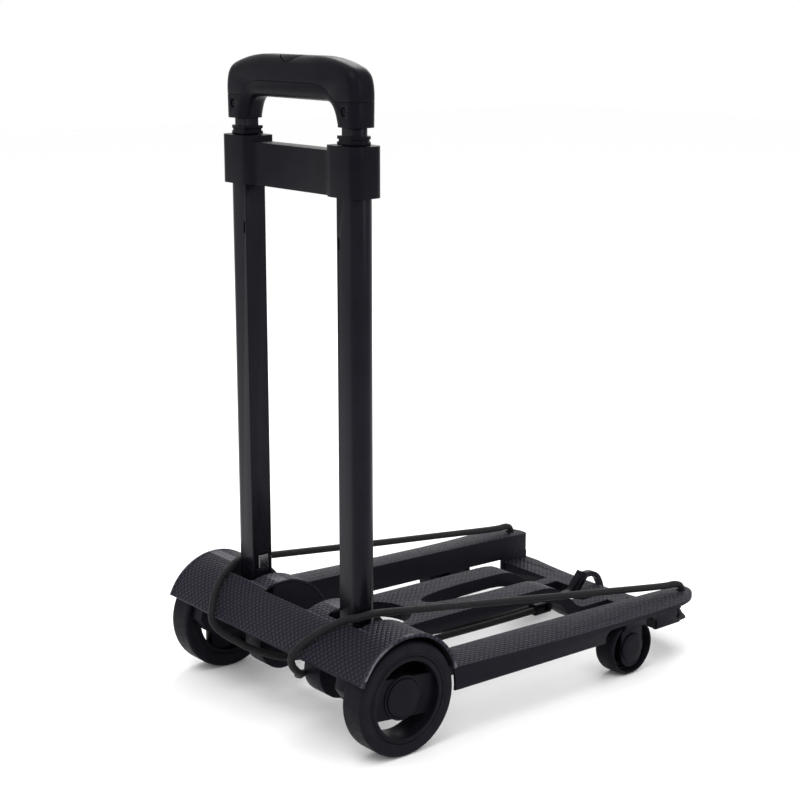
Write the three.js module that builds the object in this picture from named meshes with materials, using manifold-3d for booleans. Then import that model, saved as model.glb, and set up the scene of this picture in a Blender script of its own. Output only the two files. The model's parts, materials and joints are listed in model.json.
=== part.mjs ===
// Folding luggage cart: a platform on four wheels with a fold-down telescopic handle.
// Millimetres, +X to the cart's right, +Y forwards, +Z up. Heights below are in the platform's own frame,
// whose zero lies LIFT above the floor; the group is raised so that the wheels stand at z = 0.
import * as THREE from 'three';
import { mergeVertices } from 'three/addons/utils/BufferGeometryUtils.js';
import Module from 'manifold-3d';

const wasm = await Module();
wasm.setup();

// ---- Driving dimensions ----
const GAP = 0.3; // between touching pieces
const LIFT = 4;
const Y_SHIFT = -158.4; // moves the rear axle back so that the cart is centred on the origin

const REAR_WHEEL = { radius: 48.2, x: 113.6, width: 25, bead: 36.5, rim: 32.5 };
const AXLE_Z = REAR_WHEEL.radius - LIFT;
const AXLE_R = 4;
const AXLE_END = 130.8;

const FENDER = { centre: 47.7, outer: 52, inner: 49.4, halfWidth: 140, rear: -67.6, front: 76.5 };
const RECESS = { halfWidth: 32, rear: -21 };
const SLOT = { inner: 54, outer: 98, rear: -17.5 };
const UNDER_FENDER = FENDER.inner - GAP;
const HOUSING_RADIUS = 25;

const RAIL = { inner: 104.5, outer: 139, rear: 44, front: 363, wall: 2.6, skin: 2.2, crown: 1.4 };
const BOSS = { inner: 98, outer: 111 };
const REAR_WALL = { rear: -41, front: -38.3, bottom: 61.5, top: 73 };

const ISLAND = { halfWidth: 41.5, bottom: 45.5 };
const HOLLOW_CENTRE = 77;
const CROSSBAR = { rear: 330, bottom: 15, top: 27, middleFront: 355, endFront: 361.5 };

const FRONT_WHEEL = {
  radius: 26.3, x: 112.6, y: 266, z: 22.3, width: 22.2, bore: 3.3, core: 20.6, recess: 23.3,
};
const LEG = { inner: 129.5, outer: 133.5, halfWidth: 13, top: 40.5, bottomCentre: 16.4 };

const TUBE_X = 75.1;
const WALL = 1.2;
const TUBE_CORNERS = { curveSegments: 12 };
const OUTER_TUBE = { width: 26.3, depth: 20, bottom: 60, top: 478 };
const MIDDLE_TUBE = { width: 23.1, depth: 16.8, bottom: 130, top: 481.4 };
const INNER_TUBE = { width: 19.9, depth: 13.6, bottom: 157, top: 512 };
const BRIDGE = {
  bottom: 441.4, blockTop: 481.4, plateTop: 476.5, inner: 53, outer: 92.3, halfDepth: 14.6, plateHalf: 8.5,
};
const LATCH = { bottom: 104, top: 116, halfWidth: 5, face: 59.6, back: 68.5 };

const GRIP = {
  bottom: 495.2, halfDepth: 12, legInner: 62, legOuter: 88, underside: 513.8, top: 548.3, bevel: 4,
};
const PARTING = { leg: 514.8, middle: 527.5 };
const GRIP_SCREW_Z = 507.3;
const BUTTON = { halfWidth: 19, front: -2, depth: 9.3, floor: 529.1, bottom: 532.6, gap: 0.4, stemY: -6 };
const RELEASE_BAR = { halfLength: 77, halfWidth: 3.5, bottom: 521.9, top: 525.3 };
const CHANNEL = { halfLength: 79.5, halfWidth: 4.2, bottom: 518.4, top: 525.9 };

const CORD_RADIUS = 3.2;
const CORD_HOLE = { x: 117, y: 350.5, radius: 3.7 };

// ---- Materials: one new material for each mesh ----
const material = (color, roughness, metalness = 0) =>
  new THREE.MeshStandardMaterial({ color, roughness, metalness });
const texturedPlastic = () => material(0x1d1c22, 0.6);
const satinPlastic = () => material(0x1a1a1f, 0.42);
const tyreRubber = () => material(0x18181c, 0.7);
const blackTube = () => material(0x131315, 0.35, 0.4);
const steel = () => material(0x9a9a9e, 0.3, 1);
const elastic = () => material(0x101012, 0.85);

// ---- Solids from three.js geometry ----
function solidOf(geometry) {
  const bare = geometry.clone();
  bare.deleteAttribute('normal');
  bare.deleteAttribute('uv');
  const merged = mergeVertices(bare, 1e-4);
  const vertProperties = new Float32Array(merged.attributes.position.array);
  const triVerts = new Uint32Array(merged.index.array);
  return new wasm.Manifold(new wasm.Mesh({ numProp: 3, vertProperties, triVerts }));
}

function geometryOf(solid) {
  const mesh = solid.getMesh();
  const geometry = new THREE.BufferGeometry();
  geometry.setAttribute('position', new THREE.BufferAttribute(mesh.vertProperties, 3));
  geometry.setIndex(new THREE.BufferAttribute(mesh.triVerts, 1));
  geometry.computeVertexNormals();
  return geometry;
}

function mirrored(solid) {
  const geometry = geometryOf(solid);
  geometry.scale(-1, 1, 1);
  const index = geometry.index.array;
  for (let i = 0; i < index.length; i += 3) {
    [index[i + 1], index[i + 2]] = [index[i + 2], index[i + 1]];
  }
  return solidOf(geometry);
}

const join = (...solids) => solids.reduce((whole, piece) => whole.add(piece));
const cut = (solid, ...tools) => tools.reduce((whole, tool) => whole.subtract(tool), solid);
const bothSides = (solid) => solid.add(mirrored(solid));

function box(x0, x1, y0, y1, z0, z1) {
  const geometry = new THREE.BoxGeometry(x1 - x0, y1 - y0, z1 - z0);
  geometry.translate((x0 + x1) / 2, (y0 + y1) / 2, (z0 + z1) / 2);
  return solidOf(geometry);
}

function rodX(radius, x0, x1, y, z, segments = 32) {
  const geometry = new THREE.CylinderGeometry(radius, radius, x1 - x0, segments);
  geometry.rotateZ(Math.PI / 2);
  geometry.translate((x0 + x1) / 2, y, z);
  return solidOf(geometry);
}

function rodZ(radius, z0, z1, x, y, segments = 24) {
  const geometry = new THREE.CylinderGeometry(radius, radius, z1 - z0, segments);
  geometry.rotateX(Math.PI / 2);
  geometry.translate(x, y, (z0 + z1) / 2);
  return solidOf(geometry);
}

function rodY(radius, y0, y1, x, z, segments = 20) {
  const geometry = new THREE.CylinderGeometry(radius, radius, y1 - y0, segments);
  geometry.translate(x, (y0 + y1) / 2, z);
  return solidOf(geometry);
}

const AXIS_X = new THREE.Vector3(1, 0, 0);
const AXIS_Y = new THREE.Vector3(0, 1, 0);
const AXIS_Z = new THREE.Vector3(0, 0, 1);
const polygon = (points) => new THREE.Shape(points.map(([a, b]) => new THREE.Vector2(a, b)));

// An outline drawn in (y, z), extruded from x0 to x1.
function alongX(outline, x0, x1, options = {}) {
  const geometry = new THREE.ExtrudeGeometry(outline, { depth: x1 - x0, bevelEnabled: false, ...options });
  geometry.applyMatrix4(new THREE.Matrix4().makeBasis(AXIS_Y, AXIS_Z, AXIS_X));
  geometry.translate(x0, 0, 0);
  return solidOf(geometry);
}

// An outline drawn in (x, z), extruded from y0 to y1.
function alongY(outline, y0, y1, options = {}) {
  const geometry = new THREE.ExtrudeGeometry(outline, { depth: y1 - y0, bevelEnabled: false, ...options });
  geometry.applyMatrix4(new THREE.Matrix4().makeBasis(AXIS_X, AXIS_Z, AXIS_Y.clone().negate()));
  geometry.translate(0, y1, 0);
  return solidOf(geometry);
}

// An outline drawn in (x, y), extruded from z0 to z1.
function alongZ(outline, z0, z1, options = {}) {
  const geometry = new THREE.ExtrudeGeometry(outline, { depth: z1 - z0, bevelEnabled: false, ...options });
  geometry.translate(0, 0, z0);
  return solidOf(geometry);
}

// A clockwise profile of [x, radius] points, turned about an X axis through (y, z).
function turned(profile, y, z, segments) {
  const points = [...profile, profile[0]].map(([x, radius]) => new THREE.Vector2(radius, x));
  const geometry = new THREE.LatheGeometry(points, segments);
  geometry.applyMatrix4(new THREE.Matrix4().makeBasis(AXIS_Y, AXIS_X, AXIS_Z.clone().negate()));
  geometry.translate(0, y, z);
  return solidOf(geometry);
}

// A block whose unit coordinates (u across, v along, w up) are placed by a function.
function loftedBlock(columns, rows, place) {
  const geometry = new THREE.BoxGeometry(1, 1, 1, columns, rows, 1);
  const position = geometry.attributes.position;
  for (let i = 0; i < position.count; i++) {
    const unit = [position.getX(i) + 0.5, position.getY(i) + 0.5, position.getZ(i) + 0.5];
    position.setXYZ(i, ...place(...unit));
  }
  return solidOf(geometry);
}

// ---- Shared outlines ----
// Points on the fender's arc at a radius, by angles from straight up towards the front.
function fenderArc(radius, from, to, steps) {
  const points = [];
  for (let i = 0; i <= steps; i++) {
    const angle = THREE.MathUtils.degToRad(from + ((to - from) * i) / steps);
    points.push([radius * Math.sin(angle), FENDER.centre + radius * Math.cos(angle)]);
  }
  return points;
}

function fenderSector(inner, outer, from, to, steps) {
  return polygon([...fenderArc(outer, from, to, steps), ...fenderArc(inner, to, from, steps)]);
}

// A rectangle with rounded corners.
function roundedRect(x0, x1, y0, y1, radius) {
  const shape = new THREE.Shape();
  shape.absarc(x1 - radius, y0 + radius, radius, -Math.PI / 2, 0, false);
  shape.absarc(x1 - radius, y1 - radius, radius, 0, Math.PI / 2, false);
  shape.absarc(x0 + radius, y1 - radius, radius, Math.PI / 2, Math.PI, false);
  shape.absarc(x0 + radius, y0 + radius, radius, Math.PI, Math.PI * 1.5, false);
  shape.closePath();
  return shape;
}

// A handle tube's section: flat on the side that faces the middle of the cart, round on the other.
function tubeSection(width, depth) {
  const radius = depth / 2;
  const chamfer = 0.6;
  const flat = TUBE_X - width / 2;
  const centre = TUBE_X + width / 2 - radius;
  const shape = new THREE.Shape();
  shape.moveTo(flat, -radius + chamfer);
  shape.lineTo(flat + chamfer, -radius);
  shape.absarc(centre, 0, radius, -Math.PI / 2, Math.PI / 2, false);
  shape.lineTo(flat + chamfer, radius);
  shape.lineTo(flat, radius - chamfer);
  shape.closePath();
  return shape;
}

// ---- Rail surfaces, as heights along the cart ----
const railInnerTop = (y) => 60.9 - 0.021 * (y - 60) - 3.2e-5 * (y - 60) ** 2;
const railOuterTop = (y) => 51 + 8.5 * (Math.max(0, 280 - y) / 228) ** 1.4;
const railInnerBottom = (y) => 37 - 0.025 * (y - 50);
const railOuterBottom = (y) => 39.3 - 0.0155 * (y - 50);

function railTop(x, y) {
  const u = (x - RAIL.inner) / (RAIL.outer - RAIL.inner);
  return THREE.MathUtils.lerp(railInnerTop(y), railOuterTop(y), u) + RAIL.crown * 4 * u * (1 - u);
}

function railBottom(x, y) {
  const u = (x - RAIL.inner) / (RAIL.outer - RAIL.inner);
  return THREE.MathUtils.lerp(railInnerBottom(y), railOuterBottom(y), u);
}

// ---- Base frame: rails, island, crossbar and wheel supports in one moulding ----
function railBody() {
  const rows = 11;
  const columns = 4;
  const along = (v) => THREE.MathUtils.lerp(RAIL.rear, RAIL.front, v);
  const outside = loftedBlock(columns, rows, (u, v, w) => {
    const x = THREE.MathUtils.lerp(RAIL.inner, RAIL.outer, u);
    return [x, along(v), THREE.MathUtils.lerp(railBottom(x, along(v)), railTop(x, along(v)), w)];
  });
  const plan = new THREE.Shape();
  plan.moveTo(RAIL.inner - 1, RAIL.rear - 1);
  plan.lineTo(RAIL.outer + 1, RAIL.rear - 1);
  plan.lineTo(RAIL.outer, 323);
  plan.quadraticCurveTo(135.5, 359, 108, RAIL.front - 0.8);
  plan.quadraticCurveTo(RAIL.inner, RAIL.front - 0.6, RAIL.inner - 1, 358);
  plan.closePath();
  return outside.intersect(alongZ(plan, 0, 80, { curveSegments: 8 }));
}

// The hollow of a rail, open below, under a top skin.
function railHollow(x0, x1, y0, y1, skin) {
  return loftedBlock(3, 9, (u, v, w) => {
    const x = THREE.MathUtils.lerp(x0, x1, u);
    const y = THREE.MathUtils.lerp(y0, y1, v);
    return [x, y, w === 0 ? 10 : railTop(x, y) - skin];
  });
}

function wheelOpening() {
  const shape = new THREE.Shape();
  const [rear, front, top, radius] = [226.5, 293.5, 47.5, 9];
  shape.moveTo(rear, 20);
  shape.lineTo(rear, top - radius);
  shape.absarc(rear + radius, top - radius, radius, Math.PI, Math.PI / 2, true);
  shape.absarc(front - radius, top - radius, radius, Math.PI / 2, 0, true);
  shape.lineTo(front, 20);
  shape.closePath();
  return alongX(shape, RAIL.outer - RAIL.wall - 1, RAIL.outer + 1, { curveSegments: 5 });
}

// The open fork at the front end of the side skirt, over which the cord can be looped.
function skirtEnd() {
  const outside = RAIL.outer + 1;
  const inside = RAIL.outer - RAIL.wall - 2;
  const slot = polygon([[310, 46.6], [320.5, 48], [323.8, 41], [321.5, 37.6], [314, 44]]);
  const end = polygon([
    [322.8, 48.4], [327.7, 42], [333.6, 37.2], [334.5, 34], [334.5, 20], [372, 20], [372, 48.4],
  ]);
  return join(alongX(slot, inside, outside), alongX(end, inside, outside));
}

function frontFork() {
  const { y, z } = FRONT_WHEEL;
  const leg = new THREE.Shape();
  leg.moveTo(y + LEG.halfWidth, LEG.top);
  leg.lineTo(y - LEG.halfWidth, LEG.top);
  leg.absarc(y, LEG.bottomCentre, LEG.halfWidth, Math.PI, Math.PI * 2, false);
  leg.closePath();
  const tab = new THREE.Shape();
  tab.moveTo(y + 9, 34);
  tab.lineTo(y - 9, 34);
  tab.absarc(y, z, 9, Math.PI, Math.PI * 2, false);
  tab.closePath();
  const skirt = RAIL.outer - 0.2;
  const shoulder = polygon([
    [LEG.inner, 38], [LEG.outer, 38.6], [skirt, 43.5], [skirt, 49.5], [135.2, 49.5],
    [135.2, LEG.top], [LEG.inner, LEG.top],
  ]);
  const wallFace = RAIL.inner + RAIL.wall;
  return cut(
    join(
      alongX(leg, LEG.inner, LEG.outer, { curveSegments: 10 }),
      alongY(shoulder, y - LEG.halfWidth, y + LEG.halfWidth),
      alongX(tab, RAIL.inner, wallFace, { curveSegments: 8 }),
      rodX(6, wallFace - 1, FRONT_WHEEL.x - 0.5, y, z, 20),
    ),
    rodX(FRONT_WHEEL.bore, RAIL.inner - 1, LEG.outer + 1, y, z, 20),
  );
}

// The bearing blocks that carry the rear axle, shaped to lie under the fender.
function bearingBlock(x0, x1, rearAngle, lower) {
  const outline = polygon([...fenderArc(UNDER_FENDER, rearAngle, 77.5, 14), ...lower]);
  return cut(alongX(outline, x0, x1), rodX(AXLE_R + GAP, x0 - 1, x1 + 1, 0, AXLE_Z, 20));
}

function rightSide() {
  const boss = bearingBlock(BOSS.inner, BOSS.outer, -56.6, [
    [58, 58.4], [58, 38.6], [12, 33.5], [-20, 33.5], [-36, 42], [-43, 53], [-41, REAR_WALL.bottom],
  ]);
  const lug = join(
    bearingBlock(RECESS.halfWidth, SLOT.inner, -11.8, [
      [47.9, ISLAND.bottom], [32, 43], [9, 34], [-8, 34], [-10, 44],
    ]),
    cut(rodX(HOUSING_RADIUS, RECESS.halfWidth, SLOT.inner, 0, AXLE_Z, 36),
      rodX(AXLE_R + GAP, RECESS.halfWidth - 1, SLOT.inner + 1, 0, AXLE_Z, 20)),
  );
  const wall = RAIL.wall;
  const rail = cut(
    railBody(),
    railHollow(RAIL.inner + wall, RAIL.outer - wall, RAIL.rear - 2, 326, RAIL.skin),
    railHollow(RAIL.inner + wall, RAIL.outer - wall, 320, 372, 3.5),
    wheelOpening(),
    skirtEnd(),
    rodZ(CORD_HOLE.radius, 40, 60, CORD_HOLE.x, CORD_HOLE.y, 16),
    rodZ(CORD_HOLE.radius, 40, 60, CORD_HOLE.x, CORD_HOLE.y - 2.5, 16),
  );
  const barEnd = box(RAIL.inner - 0.5, RAIL.inner + wall, CROSSBAR.rear - 3, 361, CROSSBAR.bottom + 1, 34);
  const wheelRoom = rodX(REAR_WHEEL.radius + 2.2, BOSS.outer + GAP, RAIL.outer + 2, 0, AXLE_Z, 44);
  return cut(join(boss, lug, rail, barEnd, frontFork()), wheelRoom);
}

// The raised island between the rails: its side profile, then its openings in plan.
function island() {
  const top = new THREE.SplineCurve([
    [235, 57.3], [250, 56.4], [260, 53.2], [269, 47.8], [282, 37.1], [289, 30.6], [297, 27.4], [304, 27],
  ].map(([a, b]) => new THREE.Vector2(a, b)));
  const under = new THREE.SplineCurve([
    [284, 19], [277, 24.6], [273.5, 29.5], [268, 35.3], [258, 39.8], [246, 43.4], [232, 45.2], [214, 45.5],
  ].map(([a, b]) => new THREE.Vector2(a, b)));
  const profile = new THREE.Shape([
    new THREE.Vector2(RAIL.rear, 59.9),
    new THREE.Vector2(100, 59.6),
    new THREE.Vector2(170, 58.5),
    ...top.getPoints(10),
    new THREE.Vector2(CROSSBAR.rear + 1, CROSSBAR.top),
    new THREE.Vector2(CROSSBAR.rear + 1, CROSSBAR.bottom),
    new THREE.Vector2(290, CROSSBAR.bottom),
    ...under.getPoints(9),
    new THREE.Vector2(RAIL.rear, ISLAND.bottom),
  ]);
  const hollow = new THREE.Shape();
  hollow.moveTo(-RECESS.halfWidth, 20);
  hollow.lineTo(RECESS.halfWidth, 20);
  hollow.lineTo(RECESS.halfWidth, HOLLOW_CENTRE);
  hollow.absarc(0, HOLLOW_CENTRE, RECESS.halfWidth, 0, Math.PI, false);
  hollow.closePath();
  const side = [[0, 131.5], [4.5, 133.5], [8, 139], [11, 150], [13.6, 168], [15.5, 192], [15.5, 296]];
  const wide = [[19, 305], [28, 312], [28, CROSSBAR.rear]];
  const right = [...side, ...wide].map(([x, y]) => new THREE.Vector2(x, y));
  const left = right.slice(1).reverse().map((point) => new THREE.Vector2(-point.x, point.y));
  const teardrop = new THREE.Shape([...right, ...left]);
  return cut(
    alongX(profile, -ISLAND.halfWidth, ISLAND.halfWidth),
    alongZ(hollow, 30, 80, { curveSegments: 16 }),
    alongZ(teardrop, 0, 80),
  );
}

function crossbar() {
  const reach = RAIL.inner + 1;
  const plan = new THREE.Shape();
  plan.moveTo(-reach, CROSSBAR.rear);
  plan.lineTo(reach, CROSSBAR.rear);
  plan.lineTo(reach, CROSSBAR.endFront);
  plan.lineTo(88, CROSSBAR.endFront);
  plan.quadraticCurveTo(0, CROSSBAR.middleFront * 2 - CROSSBAR.endFront, -88, CROSSBAR.endFront);
  plan.lineTo(-reach, CROSSBAR.endFront);
  plan.closePath();
  const beam = alongZ(plan, CROSSBAR.bottom, CROSSBAR.top, { curveSegments: 16 });
  const pockets = [8, 50].map((x) => box(x, x + 38, 333, 351, 0, CROSSBAR.top - 3));
  const grooves = box(50, 102, 347.6, 348.8, CROSSBAR.top - 0.8, CROSSBAR.top + 1);
  return cut(beam, bothSides(pockets[0]), bothSides(pockets[1]), bothSides(grooves));
}

function baseFrame() {
  const reach = BOSS.outer;
  const rearWall = box(-reach, reach, REAR_WALL.rear, REAR_WALL.front, REAR_WALL.bottom, REAR_WALL.top);
  const halfWidth = FENDER.halfWidth + 1;
  const fenderRoom = alongX(fenderSector(UNDER_FENDER, 75, -150, 77.5, 38), -halfWidth, halfWidth);
  return cut(join(island(), crossbar(), rearWall, bothSides(rightSide())), fenderRoom);
}

// ---- Fender cover over the rear wheels ----
function fenderCover() {
  const { inner, outer, halfWidth, rear, front } = FENDER;
  const shell = alongX(fenderSector(inner, outer, rear, front, 26), -halfWidth, halfWidth);
  const endRims = alongX(fenderSector(inner, outer + 0.4, rear, front, 26), halfWidth - 2.6, halfWidth);
  const recess = roundedRect(-RECESS.halfWidth, RECESS.halfWidth, RECESS.rear, 90, 2);
  const slot = roundedRect(SLOT.inner, SLOT.outer, SLOT.rear, 90, 3);
  const corners = { curveSegments: 3 };
  return cut(
    join(shell, bothSides(endRims)),
    alongZ(recess, 40, 120, corners),
    bothSides(alongZ(slot, 40, 120, corners)),
  );
}

// ---- Wheels and axles ----
const rearAxle = () => rodX(AXLE_R, -AXLE_END, AXLE_END, 0, AXLE_Z, 32);

function rearTyre() {
  const { radius, x, width, bead } = REAR_WHEEL;
  const profile = [
    [0, bead + GAP], [0, 45], [0.8, 46.8], [2.6, radius], [width - 2.6, radius], [width - 0.8, 46.8],
    [width, 45], [width, bead + 1], [width - 0.6, bead + GAP],
  ];
  return turned(profile.map(([a, r]) => [a + x, r]), 0, AXLE_Z, 44);
}

// The rim is a ring with one broad band across its middle, so it is open on both sides of the band.
function rearRim(bandAngle) {
  const { x, bead, rim } = REAR_WHEEL;
  const ring = turned([[0.4, rim], [0.4, bead], [24.4, bead], [24.4, rim]].map(([a, r]) => [a + x, r]),
    0, AXLE_Z, 44);
  const bandGeometry = new THREE.BoxGeometry(10.5, 34, 2 * bead);
  bandGeometry.rotateX(THREE.MathUtils.degToRad(bandAngle));
  bandGeometry.translate(x + 12.25, 0, AXLE_Z);
  const band = solidOf(bandGeometry).intersect(rodX(bead - 1, x, x + 20, 0, AXLE_Z, 44));
  const hub = rodX(9, x + 0.4, x + 8, 0, AXLE_Z, 24);
  const boss = rodX(19, x + 7, x + 18.6, 0, AXLE_Z, 32);
  const seat = rodX(16.5 + GAP, x + 16.2, x + 20, 0, AXLE_Z, 32);
  const bore = rodX(AXLE_R + GAP, x - 1, x + 20, 0, AXLE_Z, 20);
  return cut(join(ring, band, hub, boss), seat, bore);
}

function hubCap() {
  const x = REAR_WHEEL.x + 17.5;
  return turned([[0, 0], [0, 16.5], [1.2, 16.5], [2, 15.6], [2.3, 0]].map(([a, r]) => [a + x, r]),
    0, AXLE_Z, 28);
}

function frontTyre() {
  const { radius, x, y, z, width, core, recess } = FRONT_WHEEL;
  const profile = [
    [0, core], [0, radius - 2.4], [1, radius - 0.8], [3, radius], [width - 5, radius],
    [width - 2.4, radius - 0.4], [width - 0.6, radius - 1.4], [width, radius - 2.4],
    [width - 0.2, recess], [14, recess - 0.6], [14, core],
  ];
  return turned(profile.map(([a, r]) => [a + x, r]), y, z, 34);
}

function frontHub() {
  const { x, y, z, bore, core } = FRONT_WHEEL;
  const rim = core - GAP;
  const profile = [
    [1, bore + 0.3], [1, 8], [4, 8], [4, 16.5], [1, 17], [1, rim], [13.8, rim], [13.8, 17], [10, 16],
    [10, 8], [16.2, 8], [16.2, bore + 0.3],
  ];
  return turned(profile.map(([a, r]) => [a + x, r]), y, z, 26);
}

function frontAxle() {
  const { y, z } = FRONT_WHEEL;
  const rod = rodX(3, 103.5, LEG.outer - 0.2, y, z, 20);
  const head = rodX(5, 102, RAIL.inner - GAP, y, z, 20);
  return join(rod, head);
}

function frontAxleCap() {
  const { y, z } = FRONT_WHEEL;
  const x = LEG.outer + GAP;
  return turned([[0, 0], [0, 12.9], [0.9, 12.9], [1.5, 12.2], [1.7, 0]].map(([a, r]) => [a + x, r]),
    y, z, 28);
}

// ---- Telescopic handle ----
function hollowTube({ width, depth, bottom, top }) {
  const shape = tubeSection(width, depth);
  shape.holes.push(tubeSection(width - 2 * WALL, depth - 2 * WALL));
  return alongZ(shape, bottom, top, TUBE_CORNERS);
}

function outerTube() {
  const { bottom, top, halfWidth } = LATCH;
  const x = TUBE_X - OUTER_TUBE.width / 2;
  const window = box(x - 1, x + 3, -halfWidth - 0.4, halfWidth + 0.4, bottom - 0.4, top + 0.4);
  const detentSlot = box(x + 2, x + 4, -OUTER_TUBE.depth, 1 - OUTER_TUBE.depth / 2 + WALL, 400, 410);
  return cut(hollowTube(OUTER_TUBE), window, detentSlot);
}

// The foot plugs the tube and turns on the rear axle.
function tubeFoot() {
  const half = OUTER_TUBE.width / 2 - GAP;
  const plugWidth = OUTER_TUBE.width - 2 * WALL - 2 * GAP;
  const plugDepth = OUTER_TUBE.depth - 2 * WALL - 2 * GAP;
  const plug = alongZ(tubeSection(plugWidth, plugDepth), 56, 76, TUBE_CORNERS);
  const shoulder = alongZ(tubeSection(OUTER_TUBE.width, OUTER_TUBE.depth), 53,
    OUTER_TUBE.bottom - GAP, TUBE_CORNERS);
  const knuckle = rodX(10.5, TUBE_X - half, TUBE_X + half, 0, AXLE_Z, 32);
  return cut(join(knuckle, shoulder, plug), rodX(AXLE_R + GAP, 50, 98, 0, AXLE_Z, 24));
}

// A sprung steel button in the inner face of each tube; it locks the upright tube.
function foldLatch() {
  const { bottom, top, halfWidth, face, back } = LATCH;
  const plan = polygon([
    [face, 1 - halfWidth], [face + 1, -halfWidth], [back, -halfWidth], [back, halfWidth],
    [face + 1, halfWidth], [face, halfWidth - 1],
  ]);
  const pocket = rodX(3.6, back - 6, back + 1, 0, (bottom + top) / 2, 16);
  return cut(alongZ(plan, bottom, top), pocket);
}

// A round wire wound about an axis that starts at (0, 0, 0) and runs along +Z.
function coilSpring(coilRadius, wireRadius, length, turns) {
  const points = [];
  const steps = turns * 9;
  for (let i = 0; i <= steps; i++) {
    const angle = (i / 9) * Math.PI * 2;
    points.push(new THREE.Vector3(
      coilRadius * Math.cos(angle), coilRadius * Math.sin(angle), (length * i) / steps));
  }
  const wire = new THREE.Shape();
  wire.absarc(0, 0, wireRadius, 0, Math.PI * 2, false);
  const path = new THREE.CatmullRomCurve3(points);
  return new THREE.ExtrudeGeometry(wire, { extrudePath: path, steps, curveSegments: 3 });
}

function latchSpring() {
  const { bottom, top, back } = LATCH;
  const wire = 0.4;
  const start = back - 3 + GAP + wire;
  const end = TUBE_X + OUTER_TUBE.width / 2 - WALL - GAP - wire;
  const geometry = coilSpring(2.6, wire, end - start, 3);
  geometry.rotateY(Math.PI / 2);
  geometry.translate(start, 0, (bottom + top) / 2);
  return solidOf(geometry);
}

function bridge() {
  const { bottom, blockTop, plateTop, inner, outer, halfDepth, plateHalf } = BRIDGE;
  const corner = 9;
  const rightPlan = (start) => {
    const shape = new THREE.Shape();
    shape.moveTo(start, -plateHalf);
    shape.lineTo(47, -plateHalf);
    shape.bezierCurveTo(52, -plateHalf, 53, -halfDepth, 61, -halfDepth);
    shape.lineTo(outer - corner, -halfDepth);
    shape.absarc(outer - corner, corner - halfDepth, corner, -Math.PI / 2, 0, false);
    shape.absarc(outer - corner, halfDepth - corner, corner, 0, Math.PI / 2, false);
    shape.lineTo(61, halfDepth);
    shape.bezierCurveTo(53, halfDepth, 52, plateHalf, 47, plateHalf);
    shape.lineTo(start, plateHalf);
    shape.closePath();
    return shape;
  };
  const plate = bothSides(alongZ(rightPlan(-1), bottom, plateTop, { curveSegments: 7 }));
  const tall = alongZ(rightPlan(40), bottom, blockTop, { curveSegments: 7 })
    .intersect(box(inner, outer + 1, -20, 20, bottom - 1, blockTop + 1));
  const outerHole = tubeSection(OUTER_TUBE.width + 2 * GAP, OUTER_TUBE.depth + 2 * GAP);
  const innerHole = tubeSection(MIDDLE_TUBE.width + 2 * GAP, MIDDLE_TUBE.depth + 2 * GAP);
  const holes = join(
    alongZ(outerHole, bottom - 1, OUTER_TUBE.top + GAP, TUBE_CORNERS),
    alongZ(innerHole, bottom, blockTop + 1, TUBE_CORNERS),
  );
  const pocket = box(-48, 48, -plateHalf + 2.5, plateHalf - 2.5, bottom - 1, plateTop - 3);
  return cut(join(plate, bothSides(tall)), bothSides(holes), pocket);
}

// The flanged ring on top of each middle tube.
function collar() {
  const ring = (margin, z0, z1) =>
    alongZ(tubeSection(INNER_TUBE.width + margin, INNER_TUBE.depth + margin), z0, z1, TUBE_CORNERS);
  const bottom = MIDDLE_TUBE.top + GAP;
  const top = bottom + 7.1;
  const rings = [ring(5.4, bottom, bottom + 2.6), ring(3.6, bottom + 1, top - 1), ring(5.2, top - 2.5, top)];
  return cut(join(...rings), ring(2 * GAP, bottom - 1, top + 1));
}

// ---- Grip: two shells around the tops of the inner tubes ----
function gripBody() {
  const { bottom, halfDepth, legInner, legOuter, underside, top, bevel } = GRIP;
  const outline = new THREE.Shape();
  outline.moveTo(-legInner, bottom);
  outline.lineTo(-legInner, bottom + 1.5);
  outline.bezierCurveTo(-60, 504, -57, underside, -46, underside);
  outline.lineTo(46, underside);
  outline.bezierCurveTo(57, underside, 60, 504, legInner, bottom + 1.5);
  outline.lineTo(legInner, bottom);
  outline.lineTo(legOuter, bottom);
  outline.lineTo(88.4, PARTING.leg);
  outline.bezierCurveTo(89, 531, 85.5, 539, 75, 541.8);
  outline.bezierCurveTo(64, 545.5, 50, 548.1, 36, top);
  outline.lineTo(-36, top);
  outline.bezierCurveTo(-50, 548.1, -64, 545.5, -75, 541.8);
  outline.bezierCurveTo(-85.5, 539, -89, 531, -88.4, PARTING.leg);
  outline.lineTo(-legOuter, bottom);
  outline.closePath();
  return alongY(outline, bevel - halfDepth, halfDepth - bevel, {
    bevelEnabled: true, bevelThickness: bevel, bevelSize: bevel, bevelOffset: -bevel, bevelSegments: 3,
    curveSegments: 7,
  });
}

// Everything below the line where the two shells meet, lowered by an offset.
function belowParting(offset) {
  const leg = PARTING.leg - offset;
  const middle = PARTING.middle - offset;
  const shape = new THREE.Shape();
  shape.moveTo(-100, 480);
  shape.lineTo(100, 480);
  shape.lineTo(100, leg);
  shape.lineTo(64, leg);
  shape.bezierCurveTo(57, leg + 1.2, 57, middle, 34, middle);
  shape.lineTo(-34, middle);
  shape.bezierCurveTo(-57, middle, -57, leg + 1.2, -64, leg);
  shape.lineTo(-100, leg);
  shape.closePath();
  return alongY(shape, -20, 20, { curveSegments: 7 });
}

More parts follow.
